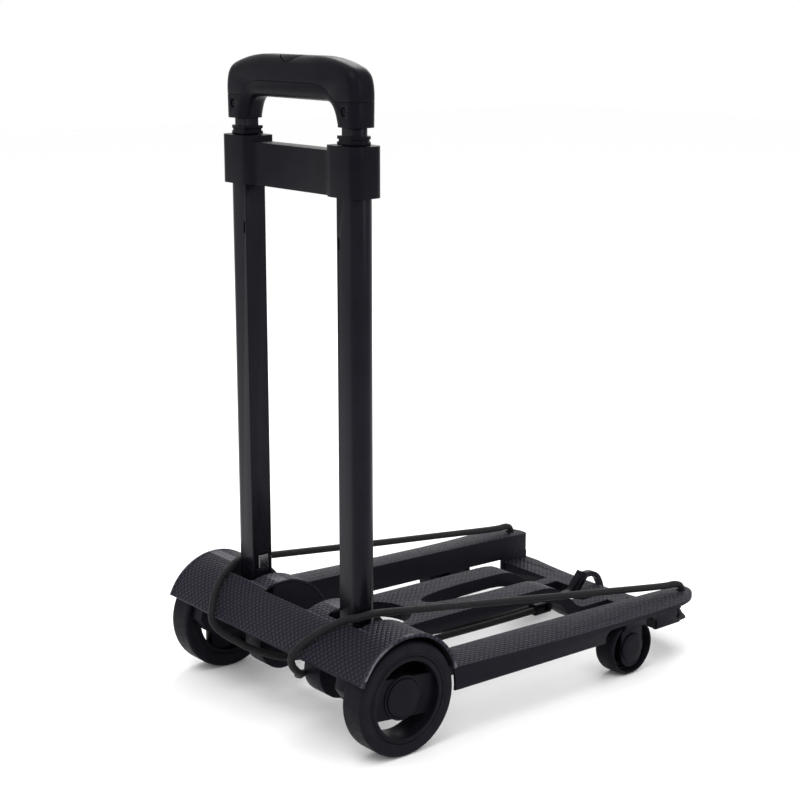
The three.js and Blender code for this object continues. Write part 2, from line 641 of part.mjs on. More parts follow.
// The half-moon column that the button slides in, grown by a clearance.
function buttonColumn(clearance, z0) {
  const { halfWidth, front, depth } = BUTTON;
  const radius = (halfWidth ** 2 + depth ** 2) / (2 * depth);
  const centre = front - depth + radius;
  const angle = Math.asin((front + clearance - centre) / (radius + clearance));
  const shape = new THREE.Shape();
  shape.absarc(0, centre, radius + clearance, Math.PI - angle, Math.PI * 2 + angle, false);
  shape.closePath();
  return alongZ(shape, z0, GRIP.top + 10, { curveSegments: 16 });
}

function releaseChannel() {
  const { halfLength, halfWidth, bottom, top } = CHANNEL;
  const bar = box(-halfLength, halfLength, -halfWidth, halfWidth, bottom, top);
  const pad = box(-7, 7, -9.8, 0, bottom, top);
  const stem = rodZ(4.5, top - 1, BUTTON.floor + 1, 0, BUTTON.stemY, 20);
  const tubeSocket = tubeSection(INNER_TUBE.width + 2 * GAP, INNER_TUBE.depth + 2 * GAP);
  const sockets = bothSides(join(
    alongZ(tubeSocket, 480, INNER_TUBE.top + 0.5, TUBE_CORNERS),
    rodZ(3.2, INNER_TUBE.top, bottom + 1, TUBE_X, 0, 16),
  ));
  return join(bar, pad, stem, sockets);
}

function gripScrewHole() {
  return join(
    rodY(3.7, -GRIP.halfDepth - 1, 2.6 - GRIP.halfDepth, TUBE_X, GRIP_SCREW_Z, 20),
    rodY(1.8, -GRIP.halfDepth, -INNER_TUBE.depth / 2, TUBE_X, GRIP_SCREW_Z, 12),
  );
}

function gripUpperShell() {
  return cut(gripBody(), belowParting(0), buttonColumn(BUTTON.gap, BUTTON.floor), releaseChannel());
}

function gripLowerShell() {
  const shell = gripBody().intersect(belowParting(GAP));
  return cut(shell, buttonColumn(BUTTON.gap, BUTTON.floor), releaseChannel(), bothSides(gripScrewHole()));
}

function releaseButton() {
  const cap = buttonColumn(-BUTTON.gap, BUTTON.bottom).intersect(gripBody());
  const stem = rodZ(2.2, RELEASE_BAR.top + GAP, BUTTON.bottom + 1, 0, BUTTON.stemY, 16);
  return join(cap, stem);
}

function releaseBar() {
  const { halfLength, halfWidth, bottom, top } = RELEASE_BAR;
  const bar = box(-halfLength, halfLength, -halfWidth, halfWidth, bottom, top);
  return join(bar, box(-6, 6, -9, 0, bottom, top));
}

const releaseRod = () => rodZ(2, INNER_TUBE.bottom + 12, RELEASE_BAR.bottom - GAP, TUBE_X, 0, 12);

function buttonSpring() {
  const wire = 0.35;
  const start = BUTTON.floor + GAP + wire;
  const geometry = coilSpring(3.3, wire, BUTTON.bottom - GAP - wire - start, 2);
  geometry.translate(0, BUTTON.stemY, start);
  return solidOf(geometry);
}

function gripScrew() {
  const rear = -GRIP.halfDepth;
  const head = rodY(3.3, rear + 0.4, rear + 2.3, TUBE_X, GRIP_SCREW_Z, 20);
  const shank = rodY(1.4, rear + 2, -INNER_TUBE.depth / 2 - GAP, TUBE_X, GRIP_SCREW_Z, 12);
  const slots = [[2.2, 0.4], [0.4, 2.2]].map(([dx, dz]) =>
    box(TUBE_X - dx, TUBE_X + dx, rear - 1, rear + 1.3, GRIP_SCREW_Z - dz, GRIP_SCREW_Z + dz));
  return cut(join(head, shank), ...slots);
}

// ---- Elastic luggage cord, its knots, the ferrule on its ends and the hook ----
const RIGHT_CORD = [
  [117, 350.5, 48.6], [117, 350.4, 53], [116.7, 348.4, 57.4], [115.9, 342.4, 60], [114.6, 330, 60.7],
  [108.4, 243, 71.9], [101.2, 143, 85.1], [94.8, 45, 98.3], [92.2, 5, 103.6], [91.8, -3, 104.1],
  [89.8, -11, 103], [84.6, -16, 101.4], [79.6, -22.2, 99], [75, -29.3, 95.3], [70, -35.4, 91],
  [64, -41.3, 85.4], [58, -46.7, 78.4], [53.2, -52.2, 69.6], [51.6, -52.2, 64], [50.4, -49.6, 58],
  [48, -43.6, 51.6], [44, -37.4, 46.4], [37.6, -33.6, 42.8], [29.6, -29.6, 39.8], [25, -20, 37],
  [23, -5, 34.6], [21, 30, 32], [19, 80, 29.4], [16, 130, 27.5], [13, 185, 24.8],
  [11, 235, 23], [10.6, 261.6, 22.8],
];
const LEFT_CORD = [
  [-117, 350.5, 48.6], [-117, 350.4, 53], [-116.7, 348.4, 57.4], [-115.9, 342.4, 60],
  [-114.6, 330, 60.7], [-108.4, 243, 71.9], [-101.2, 143, 85.1], [-94.8, 45, 98.3], [-92.2, 5, 103.6],
  [-91.6, -4, 104.2], [-88, -13, 103], [-85.5, -19.3, 100.4], [-83, -28, 96.2], [-79.5, -36, 90.6],
  [-75, -42.9, 83.7], [-70, -48.5, 75.7], [-66, -52.3, 69.4], [-63.9, -52.2, 63.8], [-60.8, -49, 57.8],
  [-54.4, -43.8, 52.2], [-46, -38.5, 48], [-38, -34, 44.6], [-27.6, -27, 41.6], [-16, -11, 36.4],
  [-8, 25, 34], [-2, 60, 34.4], [0.8, 100, 31.4], [2.4, 150, 27.6], [3.3, 200, 24.4],
  [3.6, 235, 23], [3.6, 261.6, 22.8],
];

function cordTube(route) {
  const section = new THREE.Shape();
  section.absarc(0, 0, CORD_RADIUS, 0, Math.PI * 2, false);
  const path = new THREE.CatmullRomCurve3(route.map((point) => new THREE.Vector3(...point)));
  return solidOf(new THREE.ExtrudeGeometry(section, { extrudePath: path, steps: 64, curveSegments: 4 }));
}

function cordKnot() {
  const geometry = new THREE.SphereGeometry(5.4, 10, 7);
  geometry.scale(1, 1, 0.9);
  geometry.translate(CORD_HOLE.x, CORD_HOLE.y, 43.3);
  return solidOf(geometry);
}

function cordFerrule() {
  const block = roundedRect(-4, 14.8, 17.2, 28.4, 4);
  const body = alongY(block, 263, 282, {
    bevelEnabled: true, bevelThickness: 1.1, bevelSize: 1.1, bevelOffset: -1.1, bevelSegments: 1,
    curveSegments: 3,
  });
  return cut(body, rodX(2.4, -10, 20, 275.5, 22.8, 16));
}

// A flat bar of even thickness along a line of (y, z) points.
function strip(centreLine, thickness, samples) {
  const curve = new THREE.SplineCurve(centreLine.map(([a, b]) => new THREE.Vector2(a, b)));
  const upper = [];
  const lower = [];
  for (let i = 0; i <= samples; i++) {
    const point = curve.getPoint(i / samples);
    const side = curve.getTangent(i / samples).multiplyScalar(thickness / 2);
    upper.push([point.x - side.y, point.y + side.x]);
    lower.unshift([point.x + side.y, point.y - side.x]);
  }
  return polygon([...upper, ...lower]);
}

// The hook's shank lies between the prongs, rises behind the crossbar and arches over it.
function cordHook() {
  const shank = [[284.5, 23.6], [296, 24.4], [308, 24.6], [318, 25], [323, 27]];
  const arch = [[327.5, 31], [332.5, 35.6], [338.5, 38.4], [345, 39], [351.5, 37.8], [357, 34], [360.6, 28.4],
    [362.6, 23.4], [363.8, 20]];
  const tab = polygon([[321.5, 24.4], [326.6, 24.8], [341, 40.8], [337.2, 43]]);
  const slit = polygon([[327.6, 31.2], [329, 30.2], [333.4, 35.4], [332, 36.4]]);
  return cut(
    join(alongX(strip([...shank, ...arch], 5, 44), -3, 3), alongX(tab, -6.5, 6.5)),
    alongX(slit, -8, 8),
  );
}

// ---- Assembly ----
const cart = new THREE.Group();
cart.position.set(0, Y_SHIFT, LIFT);

function place(name, solid, meshMaterial) {
  const mesh = new THREE.Mesh(geometryOf(solid), meshMaterial);
  mesh.name = name;
  cart.add(mesh);
}

function placePair(name, rightSolid, newMaterial, leftSolid = mirrored(rightSolid)) {
  place(`${name}_right`, rightSolid, newMaterial());
  place(`${name}_left`, leftSolid, newMaterial());
}

place('base_frame', baseFrame(), texturedPlastic());
place('fender_cover', fenderCover(), texturedPlastic());
place('rear_axle', rearAxle(), steel());
placePair('rear_tyre', rearTyre(), tyreRubber);
placePair('rear_rim', rearRim(84), satinPlastic, mirrored(rearRim(0)));
placePair('hub_cap', hubCap(), satinPlastic);
placePair('front_tyre', frontTyre(), tyreRubber);
placePair('front_hub', frontHub(), satinPlastic);
placePair('front_axle', frontAxle(), steel);
placePair('front_axle_cap', frontAxleCap(), satinPlastic);

placePair('outer_tube', outerTube(), blackTube);
placePair('tube_foot', tubeFoot(), satinPlastic);
placePair('fold_latch', foldLatch(), steel);
placePair('latch_spring', latchSpring(), steel);
place('bridge', bridge(), satinPlastic());
placePair('middle_tube', hollowTube(MIDDLE_TUBE), blackTube);
placePair('collar', collar(), satinPlastic);
placePair('inner_tube', hollowTube(INNER_TUBE), blackTube);
place('grip_upper_shell', gripUpperShell(), satinPlastic());
place('grip_lower_shell', gripLowerShell(), satinPlastic());
placePair('grip_screw', gripScrew(), steel);
place('release_button', releaseButton(), satinPlastic());
place('release_bar', releaseBar(), steel());
placePair('release_rod', releaseRod(), steel);
place('button_spring', buttonSpring(), steel());

placePair('bungee', cordTube(RIGHT_CORD), elastic, cordTube(LEFT_CORD));
placePair('bungee_knot', cordKnot(), elastic);
place('bungee_ferrule', cordFerrule(), satinPlastic());
place('bungee_hook', cordHook(), satinPlastic());

export default cart;
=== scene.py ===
"""Folding luggage cart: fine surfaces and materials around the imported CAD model.

Lengths come in millimetres, from the rear axle (x, y) and from the platform's zero height (z), which lies
LIFT above the floor.
"""

import json
import math

import bmesh
import bpy
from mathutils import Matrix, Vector


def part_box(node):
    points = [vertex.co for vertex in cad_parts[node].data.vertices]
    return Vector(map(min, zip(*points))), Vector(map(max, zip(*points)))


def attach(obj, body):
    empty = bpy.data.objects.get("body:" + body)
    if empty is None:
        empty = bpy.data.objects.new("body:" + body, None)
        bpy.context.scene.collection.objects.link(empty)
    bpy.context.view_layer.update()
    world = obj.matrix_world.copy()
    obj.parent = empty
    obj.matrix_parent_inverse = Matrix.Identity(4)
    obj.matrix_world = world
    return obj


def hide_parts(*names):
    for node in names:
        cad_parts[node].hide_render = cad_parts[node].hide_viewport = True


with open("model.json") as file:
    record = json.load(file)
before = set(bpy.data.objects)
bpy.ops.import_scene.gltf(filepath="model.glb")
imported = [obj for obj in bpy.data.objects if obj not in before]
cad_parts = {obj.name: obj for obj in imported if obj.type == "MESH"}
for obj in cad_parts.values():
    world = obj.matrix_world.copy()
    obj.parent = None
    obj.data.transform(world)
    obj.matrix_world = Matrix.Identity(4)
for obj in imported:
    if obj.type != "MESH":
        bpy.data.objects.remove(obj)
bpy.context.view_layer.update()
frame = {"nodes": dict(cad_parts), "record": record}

MM = 0.001
LIFT = 4
AXLE = sum(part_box("rear_axle"), Vector()) / 2
SIDES = {"right": 1, "left": -1}
FENDER = {"centre": 47.7, "outer": 52.0, "inner": 49.4, "half_width": 140.0, "rear": -67.6, "front": 76.5}


def at(x, y, z):
    """A point given in millimetres, in the row frame in metres."""
    return Vector((x * MM, AXLE.y + y * MM, (z + LIFT) * MM))


# ---- Camera, light and floor ----
def make_camera():
    yaw, pitch = math.radians(140.559), math.radians(13.212)
    data = bpy.data.cameras.new("camera")
    data.lens = 77.24
    data.sensor_width = 36
    camera = bpy.data.objects.new("camera", data)
    bpy.context.scene.collection.objects.link(camera)
    camera.location = at(1125.79, -820.58, 592.76)
    look = Vector((math.cos(pitch) * math.cos(yaw), math.cos(pitch) * math.sin(yaw), -math.sin(pitch)))
    camera.rotation_mode = "QUATERNION"
    camera.rotation_quaternion = look.to_track_quat("-Z", "Y")
    bpy.context.scene.camera = camera


def area_light(name, position, target, size, power):
    data = bpy.data.lights.new(name, "AREA")
    data.shape = "DISK"
    data.size = size
    data.energy = power
    light = bpy.data.objects.new(name, data)
    bpy.context.scene.collection.objects.link(light)
    light.location = position
    light.rotation_mode = "QUATERNION"
    light.rotation_quaternion = (Vector(target) - Vector(position)).to_track_quat("-Z", "Y")


def make_studio():
    middle = (0, 0, 0.2)
    area_light("key_light", (0.5, -1.2, 2.2), middle, 1.4, 22)
    area_light("side_light", (2.0, 0.3, 1.1), middle, 1.2, 8)
    area_light("back_light", (-1.1, 1.5, 1.7), middle, 1.6, 22)
    world = bpy.data.worlds.new("studio")
    world.use_nodes = True
    background = world.node_tree.nodes["Background"]
    background.inputs["Color"].default_value = (1, 1, 1, 1)
    background.inputs["Strength"].default_value = 1.0
    bpy.context.scene.world = world
    bpy.context.scene.view_settings.view_transform = "Standard"
    mesh = bpy.data.meshes.new("floor")
    half = 6
    corners = [(-half, -half, 0), (half, -half, 0), (half, half, 0), (-half, half, 0)]
    mesh.from_pydata(corners, [], [(0, 1, 2, 3)])
    floor = bpy.data.objects.new("floor", mesh)
    bpy.context.scene.collection.objects.link(floor)
    material = bpy.data.materials.new("floor")
    material.use_nodes = True
    shader = material.node_tree.nodes["Principled BSDF"]
    shader.inputs["Base Color"].default_value = (0.985, 0.985, 0.99, 1)
    shader.inputs["Roughness"].default_value = 0.85
    mesh.materials.append(material)


# ---- Materials ----
class Nodes:
    """Short calls for building a material's node tree."""

    def __init__(self, name):
        self.material = bpy.data.materials.new(name)
        self.material.use_nodes = True
        self.tree = self.material.node_tree
        self.shader = self.tree.nodes["Principled BSDF"]
        self.place = self.tree.nodes.new("ShaderNodeTexCoord").outputs["Object"]

    def link(self, source, target):
        self.tree.links.new(source, target)

    def math(self, operation, a, b):
        node = self.tree.nodes.new("ShaderNodeMath")
        node.operation = operation
        for socket, value in zip(node.inputs, (a, b)):
            if isinstance(value, (int, float)):
                socket.default_value = value
            else:
                self.link(value, socket)
        return node.outputs[0]

    def noise(self, scale, detail=3.0, stretch=(1, 1, 1)):
        mapping = self.tree.nodes.new("ShaderNodeMapping")
        mapping.inputs["Scale"].default_value = stretch
        self.link(self.place, mapping.inputs["Vector"])
        node = self.tree.nodes.new("ShaderNodeTexNoise")
        node.inputs["Scale"].default_value = scale
        node.inputs["Detail"].default_value = detail
        self.link(mapping.outputs[0], node.inputs["Vector"])
        return node.outputs[0]

    def spread(self, value, low, high, start=0.3, stop=0.7):
        """Maps a texture's values onto a range."""
        node = self.tree.nodes.new("ShaderNodeMapRange")
        for name, number in (("From Min", start), ("From Max", stop), ("To Min", low), ("To Max", high)):
            node.inputs[name].default_value = number
        self.link(value, node.inputs["Value"])
        return node.outputs[0]

    def mix(self, factor, a, b):
        node = self.tree.nodes.new("ShaderNodeMix")
        node.data_type = "RGBA"
        self.link(factor, node.inputs["Factor"])
        for name, value in (("A", a), ("B", b)):
            socket = next(s for s in node.inputs if s.name == name and s.type == "RGBA")
            if isinstance(value, tuple):
                socket.default_value = (*value, 1)
            else:
                self.link(value, socket)
        return next(s for s in node.outputs if s.type == "RGBA")

    def bump(self, height, strength, distance, normal=None):
        node = self.tree.nodes.new("ShaderNodeBump")
        node.inputs["Strength"].default_value = strength
        node.inputs["Distance"].default_value = distance
        self.link(height, node.inputs["Height"])
        if normal is not None:
            self.link(normal, node.inputs["Normal"])
        return node.outputs[0]

    def position(self):
        node = self.tree.nodes.new("ShaderNodeSeparateXYZ")
        self.link(self.place, node.inputs[0])
        return node.outputs

    def painted_edge_highlight(self):
        """1 on convex edges, 0 elsewhere; the mask of a painted highlight along the edges."""
        pointiness = self.tree.nodes.new("ShaderNodeNewGeometry").outputs["Pointiness"]
        return self.spread(pointiness, 0, 1, 0.52, 0.6)

    def finish(self, color, roughness, normal, **uniform):
        self.link(color, self.shader.inputs["Base Color"])
        self.link(roughness, self.shader.inputs["Roughness"])
        self.link(normal, self.shader.inputs["Normal"])
        for name, value in uniform.items():
            self.shader.inputs[name.replace("_", " ")].default_value = value
        return self.material


COOL = (0.8, 0.8, 1.0, 1.0)  # the tint of the highlights on black plastic and paint


def grain(nodes, strength=0.25):
    """The faint sand texture of a moulded surface."""
    return nodes.bump(nodes.noise(1800, 2), strength, 0.0001)


def textured_plastic(name, around_axle):
    """Black plastic with small pyramids on its upper faces; around_axle lays them on the fender's arc."""
    nodes = Nodes(name)
    x, y, z = nodes.position()
    if around_axle:
        rise = nodes.math("SUBTRACT", z, at(0, 0, FENDER["centre"]).z)
        run = nodes.math("SUBTRACT", y, AXLE.y)
        along = nodes.math("MULTIPLY", nodes.math("ARCTAN2", run, rise), FENDER["outer"] * MM)
    else:
        along = y
    pitch = 0.0056
    u = nodes.math("PINGPONG", nodes.math("DIVIDE", nodes.math("ADD", x, along), pitch), 0.5)
    v = nodes.math("PINGPONG", nodes.math("DIVIDE", nodes.math("SUBTRACT", x, along), pitch), 0.5)
    pyramids = nodes.math("MINIMUM", u, v)
    geometry = nodes.tree.nodes.new("ShaderNodeNewGeometry")
    split = nodes.tree.nodes.new("ShaderNodeSeparateXYZ")
    nodes.link(geometry.outputs["Normal"], split.inputs[0])
    # upward-facing mask: it lays the pyramids' relief on the upper faces and also carries their painted light
    upper = nodes.spread(split.outputs[2], 0, 1, -0.2 if around_axle else 0.6, 0.1 if around_axle else 0.8)
    relief = nodes.math("MULTIPLY", pyramids, upper)
    shade = nodes.spread(nodes.noise(60, 5), 0.0, 0.35)
    plain = nodes.mix(shade, (0.0035, 0.0033, 0.0055), (0.006, 0.0057, 0.009))
    # painted highlight and shade: the pyramids' peaks get a lighter colour and their grooves a darker one, as
    # light falls on the relief
    top = nodes.mix(nodes.spread(pyramids, 0, 1, 0.0, 0.5), (0.004, 0.0038, 0.0065), (0.03, 0.0285, 0.041))
    # painted light: faces turned upward take the lighter colour, as if lit from above; the other faces keep
    # the darker plain colour
    color = nodes.mix(upper, plain, top)
    if around_axle:
        # painted highlight: the fender's convex edges take a lighter colour in place of the light lines along
        # them
        color = nodes.mix(nodes.math("MULTIPLY", nodes.painted_edge_highlight(), 0.6), color, (0.15, 0.147, 0.17))
    roughness = nodes.spread(nodes.noise(240, 4), 0.42, 0.56)
    normal = nodes.bump(relief, 1.0, 0.0016, grain(nodes))
    return nodes.finish(color, roughness, normal, Specular_IOR_Level=0.09, Specular_Tint=COOL)


def satin_plastic(name, dark=(0.003, 0.0029, 0.0046), light=(0.0055, 0.0053, 0.0076)):
    nodes = Nodes(name)
    color = nodes.mix(nodes.spread(nodes.noise(45, 5), 0, 1), dark, light)
    roughness = nodes.spread(nodes.noise(300, 4), 0.3, 0.4)
    return nodes.finish(color, roughness, grain(nodes, 0.15), Specular_IOR_Level=0.06, Specular_Tint=COOL)


def tyre_rubber():
    nodes = Nodes("tyre_rubber")
    wear = nodes.spread(nodes.noise(70, 6), 0, 1)
    color = nodes.mix(wear, (0.004, 0.0039, 0.0058), (0.0075, 0.0073, 0.0098))
    dust = nodes.spread(nodes.noise(22, 6), 0, 0.3, 0.5, 0.75)
    color = nodes.mix(dust, color, (0.014, 0.0138, 0.0175))
    roughness = nodes.spread(nodes.noise(200, 4), 0.44, 0.6)
    return nodes.finish(color, roughness, nodes.bump(nodes.noise(1500, 3), 0.3, 0.00015),
                        Specular_IOR_Level=0.06, Specular_Tint=COOL)


def black_tube():
    """Black powder coat with a faint orange-peel surface."""
    nodes = Nodes("black_tube")
    shade_of_paint = nodes.spread(nodes.noise(35, 4), 0, 1)
    color = nodes.mix(shade_of_paint, (0.0025, 0.0025, 0.004), (0.0045, 0.0045, 0.0065))
    roughness = nodes.spread(nodes.noise(160, 3, (1, 1, 0.15)), 0.2, 0.3)
    normal = nodes.bump(nodes.noise(700, 2), 0.12, 0.0001)
    return nodes.finish(color, roughness, normal, Specular_IOR_Level=0.12, Specular_Tint=COOL)


def zinc_steel():
    nodes = Nodes("zinc_steel")
    color = nodes.mix(nodes.spread(nodes.noise(120, 6), 0, 1), (0.07, 0.07, 0.073), (0.12, 0.12, 0.125))
    roughness = nodes.spread(nodes.noise(900, 3, (1, 0.1, 1)), 0.2, 0.34)
    normal = nodes.bump(nodes.noise(1200, 2, (1, 0.1, 1)), 0.15, 0.0001)
    return nodes.finish(color, roughness, normal, Metallic=1.0)


def cord_fabric():
    nodes = Nodes("cord_fabric")
    yarn = nodes.spread(nodes.noise(900, 4), 0, 1)
    color = nodes.mix(yarn, (0.0018, 0.0018, 0.0024), (0.006, 0.006, 0.0078))
    roughness = nodes.spread(nodes.noise(500, 3), 0.6, 0.8)
    normal = nodes.bump(nodes.noise(2600, 3), 0.5, 0.0002)
    return nodes.finish(color, roughness, normal, Sheen_Weight=0.03, Specular_IOR_Level=0.2)


MATERIALS = {
    "platform": textured_plastic("platform_plastic", around_axle=False),
    "fender": textured_plastic("fender_plastic", around_axle=True),
    "satin": satin_plastic("satin_plastic"),
    "tyre": tyre_rubber(),
    "tube": black_tube(),
    "steel": zinc_steel(),
    "cord": cord_fabric(),
}
BODY_OF = {
    node: body for body, nodes in frame["record"]["behaviour"]["bodies"].items() for node in nodes
}


# ---- Mesh work ----
def new_object(name, mesh):
    piece = bpy.data.objects.new(name, mesh)
    bpy.context.scene.collection.objects.link(piece)
    return piece


def object_from(name, bm):
    bmesh.ops.recalc_face_normals(bm, faces=bm.faces)
    mesh = bpy.data.meshes.new(name)
    bm.to_mesh(mesh)
    bm.free()
    return new_object(name, mesh)


def apply_modifiers(piece):
    """Puts the result of a piece's modifiers into its mesh."""
    graph = bpy.context.evaluated_depsgraph_get()
    mesh = bpy.data.meshes.new_from_object(piece.evaluated_get(graph))
    piece.modifiers.clear()
    piece.data = mesh
    return piece


def boolean(piece, tool, operation):
    modifier = piece.modifiers.new("boolean", "BOOLEAN")
    modifier.operation = operation
    modifier.solver = "EXACT"
    modifier.object = tool
    apply_modifiers(piece)
    bpy.data.objects.remove(tool)
    return piece


def tidy_faces(piece):
    """Merges doubled points and dissolves the cuts across flat faces."""
    bm = bmesh.new()
    bm.from_mesh(piece.data)
    bmesh.ops.remove_doubles(bm, verts=bm.verts, dist=2e-6)
    bmesh.ops.dissolve_limit(bm, angle_limit=math.radians(0.6), verts=bm.verts, edges=bm.edges)
    bm.to_mesh(piece.data)
    bm.free()
    return piece


def soften(piece, width, segments=2, angle=34):
    """Rounds the sharp edges by a width in millimetres and shades the rest smooth."""
    modifier = piece.modifiers.new("edges", "BEVEL")
    modifier.width = width * MM
    modifier.segments = segments
    modifier.limit_method = "ANGLE"
    modifier.angle_limit = math.radians(angle)
    modifier.use_clamp_overlap = True
    modifier.harden_normals = False
    apply_modifiers(piece)
    shade(piece, angle)
    return piece


def shade(piece, angle=34):
    piece.data.shade_smooth()
    piece.data.set_sharp_from_angle(angle=math.radians(angle))


def place(piece, look, *nodes):
    """Gives a piece its material, slot and body, and lets it stand for CAD nodes of that body."""
    piece.data.materials.clear()
    piece.data.materials.append(MATERIALS[look])
    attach(piece, BODY_OF[nodes[0]])
    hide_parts(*nodes)
    return piece


def refined(node, look, width, segments=2):
    """A copy of a CAD node with clean faces and rounded edges, in the node's place."""
    piece = new_object(f"{node}_fine", frame["nodes"][node].data.copy())
    tidy_faces(piece)
    soften(piece, width, segments)
    return place(piece, look, node)


def arc(cx, cy, radius, start, stop, steps):
    """Points on a circle, from one angle in degrees to another."""
    angles = [math.radians(start + (stop - start) * i / steps) for i in range(steps + 1)]
    return [(cx + radius * math.cos(a), cy + radius * math.sin(a)) for a in angles]


def rounded_polygon(points, radius, steps=4):
    """A polygon whose corners are rounded by a radius, or by as much as their sides allow."""
    result = []
    count = len(points)
    for i, point in enumerate(points):
        before, corner, after = Vector(points[i - 1]), Vector(point), Vector(points[(i + 1) % count])
        to_before, to_after = (before - corner), (after - corner)
        half = to_before.angle(to_after) / 2
        reach = min(radius / math.tan(half), to_before.length * 0.45, to_after.length * 0.45)
        start, stop = corner + to_before.normalized() * reach, corner + to_after.normalized() * reach
        for k in range(steps + 1):
            t = k / steps
            result.append(tuple(start * (1 - t) ** 2 + corner * 2 * t * (1 - t) + stop * t**2))
    return result


def lathe(name, profile, y, z, side=1, segments=128):
    """A closed profile of (x, radius) in millimetres, turned about the X axis through (y, z)."""
    bm = bmesh.new()
    rings = []
    for x, radius in profile:
        if radius < 1e-6:
            rings.append([bm.verts.new(at(side * x, y, z))])
            continue
        turns = [2 * math.pi * i / segments for i in range(segments)]
        rings.append([
            bm.verts.new(at(side * x, y + radius * math.sin(a), z + radius * math.cos(a))) for a in turns
        ])
    for one, two in zip(rings, rings[1:] + rings[:1]):
        for i in range(segments):
            j = (i + 1) % segments
            corners = [one[i % len(one)], one[j % len(one)], two[j % len(two)], two[i % len(two)]]
            unique = list(dict.fromkeys(corners))
            if len(unique) > 2:
                bm.faces.new(unique)
    piece = object_from(name, bm)
    shade(piece)
    return piece


def prism(name, outline, low, high, axis):
    """An outline in millimetres, extruded along an axis; its points are (y, z), (x, z) or (x, y)."""
    corner = {
        "x": lambda a, b, level: at(level, a, b),
        "y": lambda a, b, level: at(a, level, b),
        "z": lambda a, b, level: at(a, b, level),
    }[axis]
    bm = bmesh.new()
    rings = [[bm.verts.new(corner(a, b, level)) for a, b in outline] for level in (low, high)]
    bm.faces.new(rings[0])
    bm.faces.new(list(reversed(rings[1])))
    for i in range(len(outline)):
        j = (i + 1) % len(outline)
        bm.faces.new([rings[0][i], rings[0][j], rings[1][j], rings[1][i]])
    return object_from(name, bm)


def rectangle(x0, x1, y0, y1, radius=0.0, steps=6):
    corners = [(x0, y0), (x1, y0), (x1, y1), (x0, y1)]
    return rounded_polygon(corners, radius, steps) if radius else corners


def round_prism(name, x, y, radius, low, high, axis, steps=40):
    return prism(name, arc(x, y, radius, 0, 360 - 360 / steps, steps - 1), low, high, axis)


def bezier(p0, p1, p2, p3, steps=14):
    """Points along a cubic, without its first."""
    points = []
    for i in range(1, steps + 1):
        t = i / steps
        weights = ((1 - t) ** 3, 3 * t * (1 - t) ** 2, 3 * t * t * (1 - t), t**3)
        points.append(tuple(sum(w * p[k] for w, p in zip(weights, (p0, p1, p2, p3))) for k in (0, 1)))
    return points


# ---- Elastic cord ----
CORD_RADIUS = 3.2
CORD_ROUTES = {
    "right": [
        (117, 350.5, 48.6), (117, 350.4, 53), (116.7, 348.4, 57.4), (115.9, 342.4, 60), (114.6, 330, 60.7),
        (108.4, 243, 71.9), (101.2, 143, 85.1), (94.8, 45, 98.3), (92.2, 5, 103.6), (91.8, -3, 104.1),
        (89.8, -11, 103), (84.6, -16, 101.4), (79.6, -22.2, 99), (75, -29.3, 95.3), (70, -35.4, 91),
        (64, -41.3, 85.4), (58, -46.7, 78.4), (53.2, -52.2, 69.6), (51.6, -52.2, 64), (50.4, -49.6, 58),
        (48, -43.6, 51.6), (44, -37.4, 46.4), (37.6, -33.6, 42.8), (29.6, -29.6, 39.8), (25, -20, 37),
        (23, -5, 34.6), (21, 30, 32), (19, 80, 29.4), (16, 130, 27.5), (13, 185, 24.8), (11, 235, 23),
        (10.6, 261.6, 22.8),
    ],
    "left": [
        (-117, 350.5, 48.6), (-117, 350.4, 53), (-116.7, 348.4, 57.4), (-115.9, 342.4, 60),
        (-114.6, 330, 60.7), (-108.4, 243, 71.9), (-101.2, 143, 85.1), (-94.8, 45, 98.3), (-92.2, 5, 103.6),
        (-91.6, -4, 104.2), (-88, -13, 103), (-85.5, -19.3, 100.4), (-83, -28, 96.2), (-79.5, -36, 90.6),
        (-75, -42.9, 83.7), (-70, -48.5, 75.7), (-66, -52.3, 69.4), (-63.9, -52.2, 63.8), (-60.8, -49, 57.8),
        (-54.4, -43.8, 52.2), (-46, -38.5, 48), (-38, -34, 44.6), (-27.6, -27, 41.6), (-16, -11, 36.4),
        (-8, 25, 34), (-2, 60, 34.4), (0.8, 100, 31.4), (2.4, 150, 27.6), (3.3, 200, 24.4), (3.6, 235, 23),
        (3.6, 261.6, 22.8),
    ],
}


def smooth_route(points, step=0.0008):
    """A centripetal Catmull-Rom curve through the points, with even steps of about that length."""
    points = [2 * points[0] - points[1], *points, 2 * points[-1] - points[-2]]
    dense = [points[1]]
    for a, b, c, d in zip(points, points[1:], points[2:], points[3:]):
        t0, t1 = 0.0, (b - a).length ** 0.5
        t2 = t1 + (c - b).length ** 0.5
        t3 = t2 + (d - c).length ** 0.5
        for i in range(1, 41):
            t = t1 + (t2 - t1) * i / 40
            ab = a.lerp(b, (t - t0) / (t1 - t0))
            bc = b.lerp(c, (t - t1) / (t2 - t1))
            cd = c.lerp(d, (t - t2) / (t3 - t2))
            abc = ab.lerp(bc, (t - t0) / (t2 - t0))
            bcd = bc.lerp(cd, (t - t1) / (t3 - t1))
            dense.append(abc.lerp(bcd, (t - t1) / (t2 - t1)))
    even, left = [dense[0]], step
    for one, two in zip(dense, dense[1:]):
        span = (two - one).length
        done = 0.0
        while span - done >= left:
            done += left
            even.append(one.lerp(two, done / span))
            left = step
        left -= span - done
    even.append(dense[-1])
    return even


